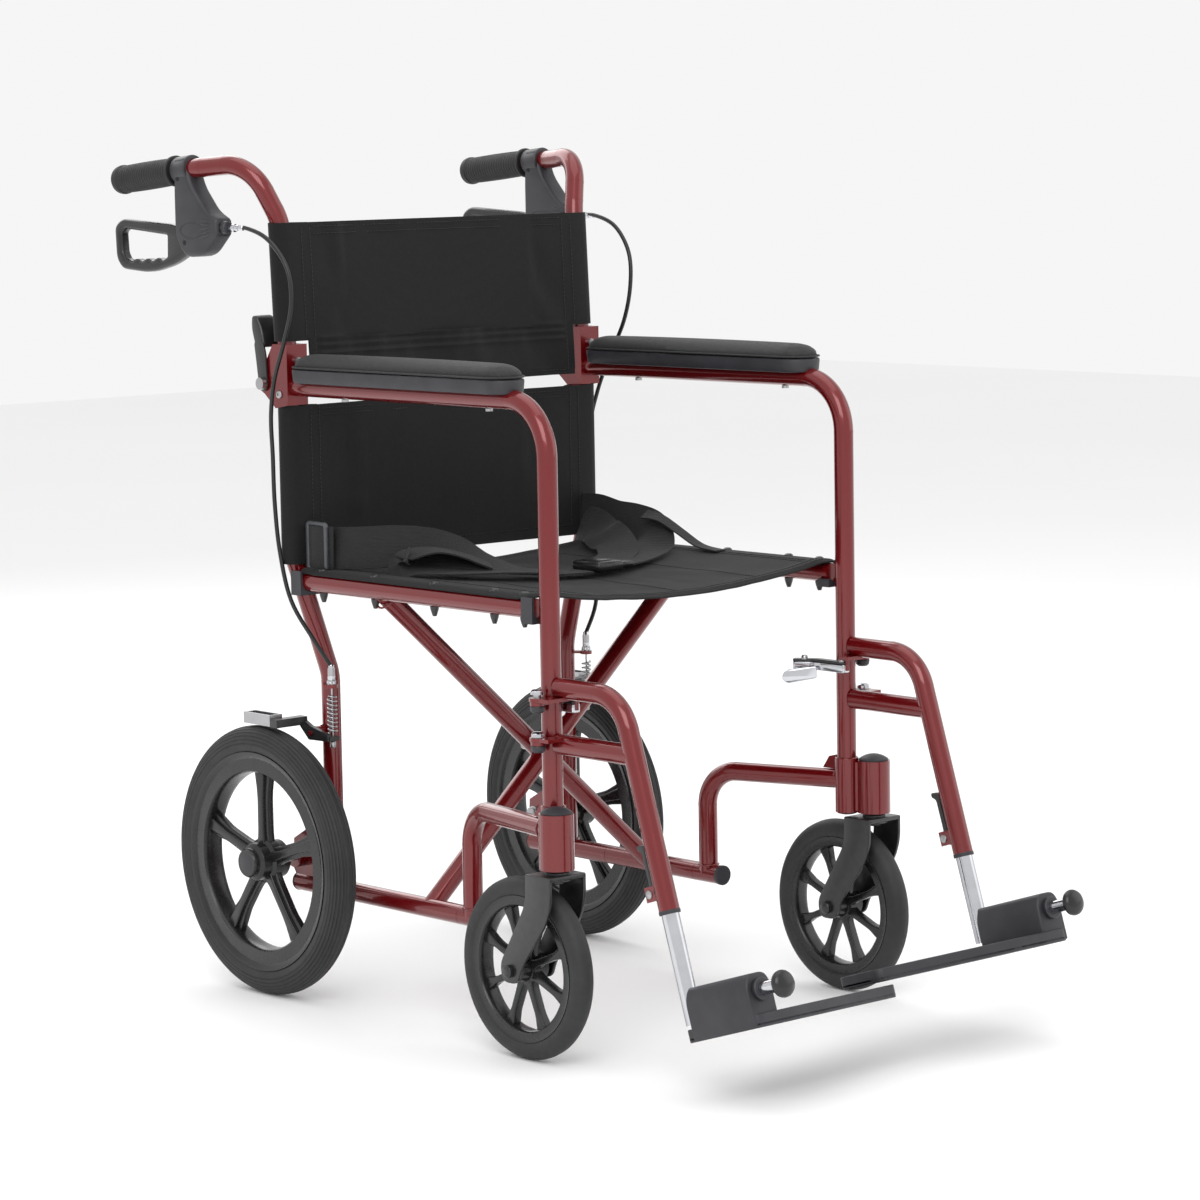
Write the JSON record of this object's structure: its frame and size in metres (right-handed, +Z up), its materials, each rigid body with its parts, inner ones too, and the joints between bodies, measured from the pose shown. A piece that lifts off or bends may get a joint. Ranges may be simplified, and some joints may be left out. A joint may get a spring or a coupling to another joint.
{
  "type": "transport wheelchair",
  "caption": "Folding transport wheelchair with a tubular steel frame, sling seat and back, padded armrests, hand brakes and swing-away footrests.",
  "frame": {"origin": "on the floor under the middle of the overall length and width", "axes": "+Z up, -Y the way the chair faces, +X the left side of someone sitting in it"},
  "size_m": [0.566, 1.067, 0.973],
  "materials": {
    "red_paint": "glossy deep metallic red",
    "black_plastic": "matte moulded",
    "black_gloss": "gloss moulded",
    "steel": "zinc plated",
    "chrome": "polished",
    "black_metal": "black satin",
    "grip_rubber": "soft matte",
    "cable_jacket": "smooth",
    "tyre": "worn matte",
    "vinyl": "grained vinyl",
    "nylon": "woven nylon",
    "webbing": "woven webbing"
  },
  "bodies": {
    "frame_right": {"frame_right": "red_paint", "trim_right": "black_plastic", "screws_right": "steel", "arm_base_right": "black_plastic", "arm_pad_right": "vinyl", "brake_spring_right": "steel", "brake_cable_right": "cable_jacket", "back_lower": "nylon"},
    "frame_left": {"frame_left": "red_paint", "trim_left": "black_plastic", "screws_left": "steel", "arm_base_left": "black_plastic", "arm_pad_left": "vinyl", "brake_spring_left": "steel", "brake_cable_left": "cable_jacket"},
    "brace_front": {"brace_front": "red_paint", "brace_bolt": "steel"},
    "brace_rear": {"brace_rear": "red_paint", "seat_sling": "nylon", "lap_belt": "webbing", "belt_hardware": "black_gloss"},
    "cane_right": {"back_cane_right": "red_paint", "grip_right": "grip_rubber", "brake_housing_right": "black_plastic", "back_upper": "nylon"},
    "brake_lever_right": {"brake_lever_right": "black_gloss"},
    "release_right": {"release_lever_right": "black_metal"},
    "brake_arm_right": {"brake_arm_right": "black_metal", "brake_shoe_right": "steel"},
    "rear_wheel_right": {"rear_rim_right": "black_plastic", "rear_tyre_right": "tyre"},
    "caster_fork_right": {"caster_fork_right": "black_metal", "caster_bolts_right": "steel"},
    "caster_wheel_right": {"caster_rim_right": "black_plastic", "caster_tyre_right": "tyre"},
    "hanger_right": {"footrest_hanger_right": "red_paint"},
    "latch_right": {"latch_lever_right": "chrome"},
    "height_lever_right": {"height_lever_right": "black_metal"},
    "extension_right": {"extension_right": "chrome", "bar_knob_right": "black_plastic"},
    "footplate_right": {"footplate_right": "black_plastic"},
    "cane_left": {"back_cane_left": "red_paint", "grip_left": "grip_rubber", "brake_housing_left": "black_plastic"},
    "brake_lever_left": {"brake_lever_left": "black_gloss"},
    "release_left": {"release_lever_left": "black_metal"},
    "brake_arm_left": {"brake_arm_left": "black_metal", "brake_shoe_left": "steel"},
    "rear_wheel_left": {"rear_rim_left": "black_plastic", "rear_tyre_left": "tyre"},
    "caster_fork_left": {"caster_fork_left": "black_metal", "caster_bolts_left": "steel"},
    "caster_wheel_left": {"caster_rim_left": "black_plastic", "caster_tyre_left": "tyre"},
    "hanger_left": {"footrest_hanger_left": "red_paint"},
    "latch_left": {"latch_lever_left": "chrome"},
    "height_lever_left": {"height_lever_left": "black_metal"},
    "extension_left": {"extension_left": "chrome", "bar_knob_left": "black_plastic"},
    "footplate_left": {"footplate_left": "black_plastic"}
  },
  "joints": [
    {"name": "fold", "type": "hinge", "parent": "frame_right", "child": "brace_front", "pos_m": [-0.18, 0.1085, 0.124], "axis": [0, -1, 0], "range_deg": [0, 30], "deforming": ["seat_sling", "lap_belt", "belt_hardware", "back_upper", "back_lower"]},
    {"name": "scissor", "type": "hinge", "parent": "brace_front", "child": "brace_rear", "pos_m": [0, 0.1015, 0.28654], "axis": [0, -1, 0], "range_deg": [-60, 0]},
    {"name": "stand_left", "type": "hinge", "parent": "brace_rear", "child": "frame_left", "pos_m": [0.18, 0.1085, 0.124], "axis": [0, -1, 0], "range_deg": [0, 30]},
    {"name": "back_fold_right", "type": "hinge", "parent": "frame_right", "child": "cane_right", "pos_m": [-0.222, 0.2965, 0.712], "axis": [-1, 0, 0], "range_deg": [0, 120], "deforming": ["brake_cable_right"]},
    {"name": "release_right", "type": "hinge", "parent": "cane_right", "child": "release_right", "pos_m": [-0.222, 0.2965, 0.712], "axis": [-1, 0, 0], "range_deg": [0, 20], "stiffness_Nm_per_rad": 1.5, "springref_deg": -11.46},
    {"name": "brake_lever_right", "type": "hinge", "parent": "cane_right", "child": "brake_lever_right", "pos_m": [-0.265, 0.3845, 0.872], "axis": [1, 0, 0], "range_deg": [0, 11], "stiffness_Nm_per_rad": 4, "springref_deg": -5.73},
    {"name": "brake_arm_right", "type": "hinge", "parent": "frame_right", "child": "brake_arm_right", "pos_m": [-0.204, 0.2685, 0.308], "axis": [-1, 0, 0], "range_deg": [0, 2.2], "deforming": ["brake_spring_right"]},
    {"name": "rear_wheel_right", "type": "hinge", "parent": "frame_right", "child": "rear_wheel_right", "pos_m": [-0.237, 0.3185, 0.1575], "axis": [1, 0, 0], "continuous": true},
    {"name": "caster_swivel_right", "type": "hinge", "parent": "frame_right", "child": "caster_fork_right", "pos_m": [-0.24, -0.1995, 0.214], "axis": [0, 0, 1], "continuous": true},
    {"name": "caster_wheel_right", "type": "hinge", "parent": "caster_fork_right", "child": "caster_wheel_right", "pos_m": [-0.24, -0.1485, 0.1], "axis": [1, 0, 0], "continuous": true},
    {"name": "swing_right", "type": "hinge", "parent": "frame_right", "child": "hanger_right", "pos_m": [-0.245, -0.1785, 0.35], "axis": [0, 0, -1], "range_deg": [0, 90]},
    {"name": "latch_right", "type": "hinge", "parent": "hanger_right", "child": "latch_right", "pos_m": [-0.204, -0.1945, 0.386], "axis": [0, 0, -1], "range_deg": [0, 20], "stiffness_Nm_per_rad": 1, "springref_deg": -11.46},
    {"name": "height_lever_right", "type": "hinge", "parent": "hanger_right", "child": "height_lever_right", "pos_m": [-0.222, -0.33259, 0.20271], "axis": [-1, 0, 0], "range_deg": [0, 25], "stiffness_Nm_per_rad": 1, "springref_deg": -11.46},
    {"name": "extension_right", "type": "slide", "parent": "hanger_right", "child": "extension_right", "axis": [0, -0.3057, -0.9521], "range_m": [0, 0.04]},
    {"name": "back_fold_left", "type": "hinge", "parent": "frame_left", "child": "cane_left", "pos_m": [0.222, 0.2965, 0.712], "axis": [-1, 0, 0], "range_deg": [0, 120], "deforming": ["brake_cable_left"]},
    {"name": "release_left", "type": "hinge", "parent": "cane_left", "child": "release_left", "pos_m": [0.222, 0.2965, 0.712], "axis": [-1, 0, 0], "range_deg": [0, 20], "stiffness_Nm_per_rad": 1.5, "springref_deg": -11.46},
    {"name": "brake_lever_left", "type": "hinge", "parent": "cane_left", "child": "brake_lever_left", "pos_m": [0.265, 0.3845, 0.872], "axis": [1, 0, 0], "range_deg": [0, 11], "stiffness_Nm_per_rad": 4, "springref_deg": -5.73},
    {"name": "brake_arm_left", "type": "hinge", "parent": "frame_left", "child": "brake_arm_left", "pos_m": [0.204, 0.2685, 0.308], "axis": [-1, 0, 0], "range_deg": [0, 2.2], "deforming": ["brake_spring_left"]},
    {"name": "rear_wheel_left", "type": "hinge", "parent": "frame_left", "child": "rear_wheel_left", "pos_m": [0.237, 0.3185, 0.1575], "axis": [1, 0, 0], "continuous": true},
    {"name": "caster_swivel_left", "type": "hinge", "parent": "frame_left", "child": "caster_fork_left", "pos_m": [0.24, -0.1995, 0.214], "axis": [0, 0, 1], "continuous": true},
    {"name": "caster_wheel_left", "type": "hinge", "parent": "caster_fork_left", "child": "caster_wheel_left", "pos_m": [0.24, -0.1485, 0.1], "axis": [1, 0, 0], "continuous": true},
    {"name": "swing_left", "type": "hinge", "parent": "frame_left", "child": "hanger_left", "pos_m": [0.245, -0.1785, 0.35], "axis": [0, 0, 1], "range_deg": [0, 90]},
    {"name": "latch_left", "type": "hinge", "parent": "hanger_left", "child": "latch_left", "pos_m": [0.204, -0.1945, 0.386], "axis": [0, 0, 1], "range_deg": [0, 20], "stiffness_Nm_per_rad": 1, "springref_deg": -11.46},
    {"name": "height_lever_left", "type": "hinge", "parent": "hanger_left", "child": "height_lever_left", "pos_m": [0.222, -0.33259, 0.20271], "axis": [-1, 0, 0], "range_deg": [0, 25], "stiffness_Nm_per_rad": 1, "springref_deg": -11.46},
    {"name": "extension_left", "type": "slide", "parent": "hanger_left", "child": "extension_left", "axis": [0, -0.3057, -0.9521], "range_m": [-0.06, 0]},
    {"name": "footplate_left", "type": "hinge", "parent": "extension_left", "child": "footplate_left", "pos_m": [0.222, -0.37996, 0.11079], "axis": [0, 0.9521, -0.3057], "range_deg": [0, 92]},
    {"name": "footplate_right", "type": "hinge", "parent": "extension_right", "child": "footplate_right", "pos_m": [-0.222, -0.38577, 0.0927], "axis": [0, -0.9521, 0.3057], "range_deg": [0, 92]}
  ],
  "couplings": [
    {"joint": "scissor", "follows": "fold", "ratio": -2},
    {"joint": "stand_left", "follows": "fold", "ratio": 1},
    {"joint": "footplate_left", "follows": "fold", "ratio": 3.0667},
    {"joint": "footplate_right", "follows": "fold", "ratio": 2},
    {"joint": "back_fold_left", "follows": "back_fold_right", "ratio": 1},
    {"joint": "brake_arm_right", "follows": "brake_lever_right", "ratio": 0.2},
    {"joint": "brake_arm_left", "follows": "brake_lever_left", "ratio": 0.2}
  ]
}
